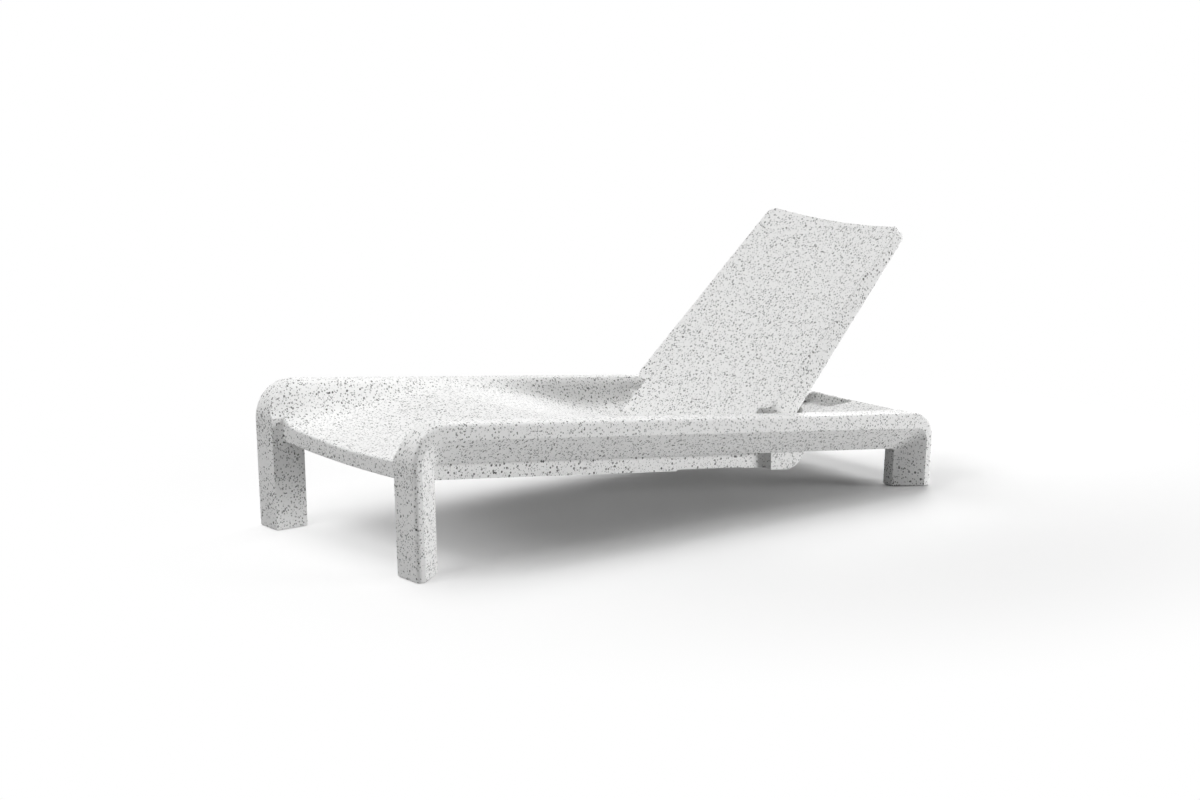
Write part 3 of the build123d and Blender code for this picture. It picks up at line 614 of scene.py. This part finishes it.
class LoungerGranite(bpy.types.PropertyGroup):
    """Speckled plastic of the base and the backrest"""

    body_colour: bpy.props.FloatVectorProperty(
        name="Body Colour", description="Colour of the plastic between the grains", subtype="COLOR",
        size=3, min=0.0, max=1.0, default=(0.88, 0.88, 0.875),
    )
    pale_colour: bpy.props.FloatVectorProperty(
        name="Pale Grains", description="Colour of the faint grey grains", subtype="COLOR",
        size=3, min=0.0, max=1.0, default=(0.5, 0.5, 0.495),
    )
    grey_colour: bpy.props.FloatVectorProperty(
        name="Grey Grains", description="Colour of the fine grey grains", subtype="COLOR",
        size=3, min=0.0, max=1.0, default=(0.1, 0.1, 0.1),
    )
    black_colour: bpy.props.FloatVectorProperty(
        name="Black Grains", description="Colour of the larger dark grains", subtype="COLOR",
        size=3, min=0.0, max=1.0, default=(0.035, 0.035, 0.035),
    )
    grey_size: bpy.props.FloatProperty(
        name="Grey Grain Pitch", description="Mean distance between the fine grains", unit="LENGTH",
        min=0.001, max=0.02, default=0.005,
    )
    black_size: bpy.props.FloatProperty(
        name="Black Grain Pitch", description="Mean distance between the larger grains",
        unit="LENGTH", min=0.002, max=0.04, default=0.0112,
    )
    grey_share: bpy.props.FloatProperty(
        name="Grey Share", description="Share of the places that hold a fine grain",
        subtype="FACTOR", min=0.0, max=1.0, default=0.46,
    )
    black_share: bpy.props.FloatProperty(
        name="Black Share", description="Share of the places that hold a larger grain",
        subtype="FACTOR", min=0.0, max=1.0, default=0.8,
    )
    roughness: bpy.props.FloatProperty(
        name="Roughness", description="Roughness of the moulded surface", subtype="FACTOR",
        min=0.2, max=1.0, default=0.55,
    )
    skin_depth: bpy.props.FloatProperty(
        name="Skin Depth", description="Depth of the orange-peel skin", unit="LENGTH",
        min=0.0, max=0.001, default=0.00018,
    )


class LoungerHardware(bpy.types.PropertyGroup):
    """Steel, brass, plain plastics and rubber"""

    steel_colour: bpy.props.FloatVectorProperty(
        name="Steel", description="Colour of the stay, bolts and screws", subtype="COLOR",
        size=3, min=0.0, max=1.0, default=slot_colour("stainless_steel"),
    )
    steel_roughness: bpy.props.FloatProperty(
        name="Steel Roughness", description="Roughness of the brightest drawn lines",
        subtype="FACTOR", min=0.05, max=1.0, default=0.26,
    )
    brass_colour: bpy.props.FloatVectorProperty(
        name="Brass", description="Colour of the threaded inserts", subtype="COLOR",
        size=3, min=0.0, max=1.0, default=slot_colour("brass"),
    )
    bush_colour: bpy.props.FloatVectorProperty(
        name="Grey Plastic", description="Colour of bushes, saddles and rack", subtype="COLOR",
        size=3, min=0.0, max=1.0, default=slot_colour("grey_plastic"),
    )
    plug_colour: bpy.props.FloatVectorProperty(
        name="Vent Plugs", description="Colour of the vent plugs", subtype="COLOR",
        size=3, min=0.0, max=1.0, default=slot_colour("white_plastic"),
    )
    glide_colour: bpy.props.FloatVectorProperty(
        name="Glides", description="Colour of the glides under the legs", subtype="COLOR",
        size=3, min=0.0, max=1.0, default=slot_colour("glide_plastic"),
    )
    rubber_colour: bpy.props.FloatVectorProperty(
        name="Rubber", description="Colour of the bumpers behind the backrest", subtype="COLOR",
        size=3, min=0.0, max=1.0, default=slot_colour("dark_rubber"),
    )


class LoungerStage(bpy.types.PropertyGroup):
    """Floor, lamps, room light and lens"""

    floor_reach: bpy.props.FloatProperty(
        name="Floor Radius", description="Radius of the studio floor", unit="LENGTH",
        min=10.0, max=200.0, default=80.0,
    )
    # Painted light: the floor's glow lightens the lounger's cast shadow. The middle sits towards
    # the head end, so the shadow fades most at the foot end.
    sweep_middle: bpy.props.FloatVectorProperty(
        name="Sweep Middle", description="Point of the floor round which it fades to plain white",
        subtype="XYZ", size=2, min=-5.0, max=5.0, default=(0.35, -0.15),
    )
    sweep_start: bpy.props.FloatProperty(
        name="Sweep Start", description="Distance at which the floor starts to fade to plain white",
        unit="LENGTH", min=0.4, max=20.0, default=0.6,
    )
    sweep_end: bpy.props.FloatProperty(
        name="Sweep End", description="Distance at which the floor is plain white", unit="LENGTH",
        min=1.0, max=40.0, default=1.9,
    )
    floor_colour: bpy.props.FloatVectorProperty(
        name="Floor Bounce", description="Colour of the light that the studio floor throws back",
        subtype="COLOR", size=3, min=0.0, max=1.0, default=(0.52, 0.52, 0.52),
    )
    sky_strength: bpy.props.FloatProperty(
        name="Room Light", description="Strength of the even light of the room",
        min=0.0, max=2.0, default=0.1,
    )
    key_power: bpy.props.FloatProperty(
        name="Key Light", description="Power of the large lamp above the lounger", unit="POWER",
        min=0.0, max=2000.0, default=147.0,
    )
    fill_power: bpy.props.FloatProperty(
        name="Fill Light", description="Power of the low lamp that rakes along the near rail",
        unit="POWER", min=0.0, max=2000.0, default=840.0,
    )
    foot_power: bpy.props.FloatProperty(
        name="Foot Light", description="Power of the lamp beyond the foot end", unit="POWER",
        min=0.0, max=2000.0, default=56.0,
    )
    back_power: bpy.props.FloatProperty(
        name="Back Light", description="Power of the lamp beyond the head end", unit="POWER",
        min=0.0, max=2000.0, default=46.0,
    )
    lens: bpy.props.FloatProperty(
        name="Lens", description="Focal length of the camera in millimetres",
        min=20.0, max=200.0, default=81.0,
    )


# Operators, one for each piece or group of like pieces

BUSH_ROUGHNESS = 0.48
GLIDE_ROUGHNESS = 0.42
PLUG_ROUGHNESS = 0.45


class LOUNGER_OT_base(bpy.types.Operator):
    """Speckled plastic on the moulded base"""

    bl_idname = "lounger.base"
    bl_label = "Base"

    def execute(self, context):
        return dress("granite_plastic", ["base_shell"], granite_plastic)


class LOUNGER_OT_seat_walls(bpy.types.Operator):
    """Ends of the bowl's walls beside the heel, in the base's plastic"""

    bl_idname = "lounger.seat_walls"
    bl_label = "Seat Walls"

    def execute(self, context):
        material = slot_material("granite_plastic", granite_plastic)
        for hand, side in (("left", -1), ("right", 1)):
            piece = seat_wall(f"seat_wall_{hand}", side)
            piece.data.materials.append(material)
            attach(piece, "base")
        return {"FINISHED"}


class LOUNGER_OT_backrest(bpy.types.Operator):
    """Speckled plastic on the moulded backrest"""

    bl_idname = "lounger.backrest"
    bl_label = "Backrest"

    def execute(self, context):
        return dress("granite_plastic", ["backrest_shell"], granite_plastic)


class LOUNGER_OT_stay(bpy.types.Operator):
    """Drawn steel on the support stay"""

    bl_idname = "lounger.stay"
    bl_label = "Support Stay"

    def execute(self, context):
        return dress("stainless_steel", ["support_stay"], stainless_steel)


class LOUNGER_OT_bolts(bpy.types.Operator):
    """Drawn steel on the hinge bolts and the small screws"""

    bl_idname = "lounger.bolts"
    bl_label = "Hinge Bolts and Screws"

    def execute(self, context):
        nodes = ["hinge_bolt_left", "hinge_bolt_right", "rack_screws", "saddle_screws"]
        return dress("stainless_steel", nodes, stainless_steel)


class LOUNGER_OT_inserts(bpy.types.Operator):
    """Turned brass on the threaded inserts"""

    bl_idname = "lounger.inserts"
    bl_label = "Threaded Inserts"

    def execute(self, context):
        nodes = ["hinge_insert_left", "hinge_insert_right", "rack_inserts", "saddle_inserts"]
        return dress("brass", nodes, turned_brass)


class LOUNGER_OT_bearings(bpy.types.Operator):
    """Grey plastic on the hinge bushes, the stay's saddles and the notched rack"""

    bl_idname = "lounger.bearings"
    bl_label = "Bushes, Saddles and Rack"

    def execute(self, context):
        colour = context.scene.lounger_hardware.bush_colour
        nodes = [
            "hinge_bush_left", "hinge_bush_right", "stay_saddle_left", "stay_saddle_right",
            "stay_rack",
        ]
        return dress("grey_plastic", nodes, tinted_plastic, colour, BUSH_ROUGHNESS)


class LOUNGER_OT_bumpers(bpy.types.Operator):
    """Rubber on the bumpers behind the backrest"""

    bl_idname = "lounger.bumpers"
    bl_label = "Bumpers"

    def execute(self, context):
        return dress("dark_rubber", ["backrest_bumper_left", "backrest_bumper_right"], dark_rubber)


class LOUNGER_OT_glides(bpy.types.Operator):
    """Worn plastic on the glides under the legs"""

    bl_idname = "lounger.glides"
    bl_label = "Glides"

    def execute(self, context):
        colour = context.scene.lounger_hardware.glide_colour
        nodes = [
            f"{end}_end_glide_{hand}" for end in ("foot", "head") for hand in ("left", "right")
        ]
        return dress("glide_plastic", nodes, tinted_plastic, colour, GLIDE_ROUGHNESS)


class LOUNGER_OT_plugs(bpy.types.Operator):
    """White plastic on the plugs of the moulding vents"""

    bl_idname = "lounger.plugs"
    bl_label = "Vent Plugs"

    def execute(self, context):
        colour = context.scene.lounger_hardware.plug_colour
        nodes = ["base_vent_plug", "backrest_vent_plug"]
        return dress("white_plastic", nodes, tinted_plastic, colour, PLUG_ROUGHNESS)


# Stage

# Lamp, its place, the point it is aimed at, its width and height in metres, the name of its power,
# and whether the lounger may mirror it
LAMPS = (
    ("key_lamp", (-0.7, 1.5, 5.1), (0.1, 0.0, 0.25), (3.8, 2.9), "key_power", True),
    ("fill_lamp", (8.0, -7.0, 1.2), (0.0, -0.2, 0.25), (4.2, 2.0), "fill_power", False),
    ("foot_lamp", (-2.9, -0.4, 3.1), (0.2, 0.0, 0.3), (1.8, 1.4), "foot_power", True),
    ("back_lamp", (2.8, 1.2, 1.6), (0.6, 0.0, 0.25), (1.2, 1.0), "back_power", True),
)
FLOOR_SIDES = 96
SENSOR_WIDTH = 36.0
CAMERA_PLACE = (-4.6417, -6.0098, 1.8507)
CAMERA_TURN = (78.517, 0.0, -37.570)
CAMERA_REACH = 300.0


def seen_directly(tree, place):
    """1 for what the camera sees, also in gloss or through glass, and 0 for light that falls."""
    column, row = place
    rays = add(tree, "ShaderNodeLightPath", place)
    camera, gloss = rays.outputs["Is Camera Ray"], rays.outputs["Is Glossy Ray"]
    either = maths(tree, "MAXIMUM", (column + 1, row), camera, gloss)
    glass = rays.outputs["Is Transmission Ray"]
    return maths(tree, "MAXIMUM", (column + 2, row), either, glass)


def floor_material(stage):
    """Matt floor that takes the shadow near the lounger and turns plain white further out. The
    white is painted light: a glow that also lightens the lounger's cast shadow, most at the foot
    end.
    """
    material = bpy.data.materials.new("Studio Floor")
    material.use_nodes = True
    tree = material.node_tree
    tree.nodes.clear()
    seen = seen_directly(tree, (-3, -2))
    where = add(tree, "ShaderNodeTexCoord", (-5, 1)).outputs["Object"]
    middle = (*stage.sweep_middle, 0.0)
    reach = add(
        tree, "ShaderNodeVectorMath", (-4, 1), {0: where, 1: middle}, operation="DISTANCE"
    )
    far = remap(tree, (-3, 1), reach.outputs["Value"], stage.sweep_start, stage.sweep_end)
    shade = blend_colours(tree, (-1, 0), seen, opaque(stage.floor_colour), WHITE)
    matt = add(tree, "ShaderNodeBsdfDiffuse", (0, 0), {"Color": shade})
    glow = add(tree, "ShaderNodeEmission", (0, 1), {"Color": WHITE, "Strength": 1.0})
    # Painted light: the white glow takes over from the matt floor with distance from the sweep
    # middle, and lightens the cast shadow as it does.
    share = maths(tree, "MULTIPLY", (0, -2), far, seen)
    mix = add(
        tree, "ShaderNodeMixShader", (2, 0), {0: share, 1: matt.outputs[0], 2: glow.outputs[0]}
    )
    end = add(tree, "ShaderNodeOutputMaterial", (3, 0))
    tree.links.new(mix.outputs[0], end.inputs["Surface"])
    return material


def studio_floor(stage):
    """Round floor, wide enough to pass for endless."""
    mesh = bpy.data.meshes.new("studio_floor")
    build = bmesh.new()
    bmesh.ops.create_circle(
        build, cap_ends=True, segments=FLOOR_SIDES, radius=stage.floor_reach
    )
    build.to_mesh(mesh)
    build.free()
    mesh.materials.append(floor_material(stage))
    floor = bpy.data.objects.new("studio_floor", mesh)
    bpy.context.scene.collection.objects.link(floor)
    return floor


def lamp(name, place, target, size, power, mirrored):
    """Soft rectangular lamp aimed at a point."""
    data = bpy.data.lights.new(name, "AREA")
    data.shape = "RECTANGLE"
    data.size, data.size_y = size
    data.energy = power
    thing = bpy.data.objects.new(name, data)
    thing.location = place
    aim = Vector(target) - Vector(place)
    thing.rotation_euler = aim.to_track_quat("-Z", "Y").to_euler()
    thing.visible_glossy = mirrored
    bpy.context.scene.collection.objects.link(thing)


def studio_room(stage):
    """World that looks plain white and lights the lounger faintly and evenly."""
    world = bpy.data.worlds.new("studio_room")
    world.use_nodes = True
    tree = world.node_tree
    tree.nodes.clear()
    seen = seen_directly(tree, (-3, 0))
    faint = stage.sky_strength
    strength = maths(tree, "MULTIPLY_ADD", (0, 0), seen, 1.0 - faint, faint)
    glow = add(tree, "ShaderNodeBackground", (1, 0), {"Color": WHITE, "Strength": strength})
    end = add(tree, "ShaderNodeOutputWorld", (2, 0))
    tree.links.new(glow.outputs[0], end.inputs["Surface"])
    return world


def studio_camera(stage):
    """Camera at the photograph's viewing angle."""
    lens = bpy.data.cameras.new("camera")
    lens.lens = stage.lens
    lens.sensor_width = SENSOR_WIDTH
    lens.clip_end = CAMERA_REACH
    camera = bpy.data.objects.new("camera", lens)
    camera.location = CAMERA_PLACE
    camera.rotation_euler = [math.radians(angle) for angle in CAMERA_TURN]
    bpy.context.scene.collection.objects.link(camera)
    return camera


class LOUNGER_OT_stage(bpy.types.Operator):
    """Pale floor, soft lamps, even room light and the camera"""

    bl_idname = "lounger.stage"
    bl_label = "Stage"

    def execute(self, context):
        stage = context.scene.lounger_stage
        floor = studio_floor(stage)
        for name, place, target, size, power, mirrored in LAMPS:
            lamp(name, place, target, size, getattr(stage, power), mirrored)
        context.scene.world = studio_room(stage)
        context.scene.camera = studio_camera(stage)
        context.scene.view_settings.view_transform = "Standard"
        return {"FINISHED"}


STEPS = (
    LOUNGER_OT_base,
    LOUNGER_OT_seat_walls,
    LOUNGER_OT_backrest,
    LOUNGER_OT_stay,
    LOUNGER_OT_bolts,
    LOUNGER_OT_inserts,
    LOUNGER_OT_bearings,
    LOUNGER_OT_bumpers,
    LOUNGER_OT_glides,
    LOUNGER_OT_plugs,
    LOUNGER_OT_stage,
)


class LOUNGER_PT_panel(bpy.types.Panel):
    """Finishes and stage of the sun lounger"""

    bl_idname = "LOUNGER_PT_panel"
    bl_label = "Sun Lounger"
    bl_space_type = "VIEW_3D"
    bl_region_type = "UI"
    bl_category = "Lounger"

    def draw(self, context):
        for label, group in (
            ("Granite", context.scene.lounger_granite),
            ("Hardware", context.scene.lounger_hardware),
            ("Stage", context.scene.lounger_stage),
        ):
            box = self.layout.box()
            box.label(text=label)
            for name in group.__annotations__:
                box.prop(group, name)
        column = self.layout.column(align=True)
        for step in STEPS:
            column.operator(step.bl_idname)


GROUPS = (LoungerGranite, LoungerHardware, LoungerStage)
CLASSES = (*GROUPS, *STEPS, LOUNGER_PT_panel)


def register():
    """Makes the add-on's classes and its settings known to Blender."""
    for item in CLASSES:
        bpy.utils.register_class(item)
    bpy.types.Scene.lounger_granite = bpy.props.PointerProperty(type=LoungerGranite)
    bpy.types.Scene.lounger_hardware = bpy.props.PointerProperty(type=LoungerHardware)
    bpy.types.Scene.lounger_stage = bpy.props.PointerProperty(type=LoungerStage)


def unregister():
    """Takes them away again, in the opposite order."""
    del bpy.types.Scene.lounger_stage
    del bpy.types.Scene.lounger_hardware
    del bpy.types.Scene.lounger_granite
    for item in reversed(CLASSES):
        bpy.utils.unregister_class(item)


def main():
    """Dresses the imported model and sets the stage."""
    register()
    bpy.ops.lounger.base()
    bpy.ops.lounger.seat_walls()
    bpy.ops.lounger.backrest()
    bpy.ops.lounger.stay()
    bpy.ops.lounger.bolts()
    bpy.ops.lounger.inserts()
    bpy.ops.lounger.bearings()
    bpy.ops.lounger.bumpers()
    bpy.ops.lounger.glides()
    bpy.ops.lounger.plugs()
    bpy.ops.lounger.stage()


if __name__ == "__main__":
    main()
